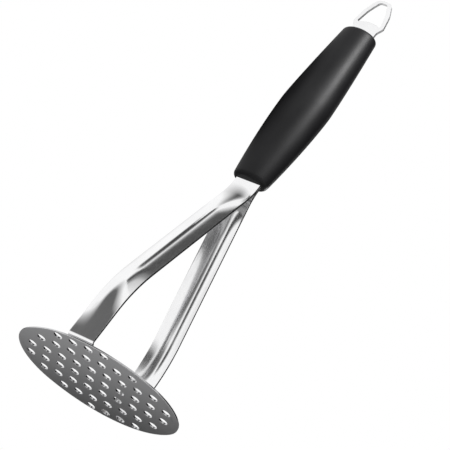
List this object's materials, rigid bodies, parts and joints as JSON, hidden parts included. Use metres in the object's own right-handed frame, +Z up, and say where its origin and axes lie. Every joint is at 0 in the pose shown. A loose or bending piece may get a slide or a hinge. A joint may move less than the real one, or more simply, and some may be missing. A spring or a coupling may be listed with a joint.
{
  "type": "potato masher",
  "caption": "Hand potato masher: oval perforated steel plate on pressed steel arms that meet in a flat neck, soft black oval grip and stamped steel hanging loop.",
  "frame": {"origin": "centre of the underside of the oval plate, which is the bottom centre of the whole tool", "axes": "+Z up the handle, Y along the plate's long axis and the width of the arms, X through the two arms"},
  "size_m": [0.0738, 0.095, 0.2712],
  "materials": {
    "satin_steel": "satin, fine straight brushing",
    "polished_steel": "polished",
    "loop_steel": "polished, tumbled edges",
    "weld_steel": "plain",
    "core_plastic": "moulded, matte",
    "soft_grip": "satin, very fine texture"
  },
  "bodies": {
    "root": {"masher_plate": "satin_steel", "left_arm": "polished_steel", "right_arm": "polished_steel", "foot_welds": "weld_steel", "tang_rivets": "weld_steel", "hang_loop": "loop_steel", "loop_pin": "weld_steel", "core_front_half": "core_plastic", "core_back_half": "core_plastic", "grip_sleeve": "soft_grip"}
  },
  "joints": []
}
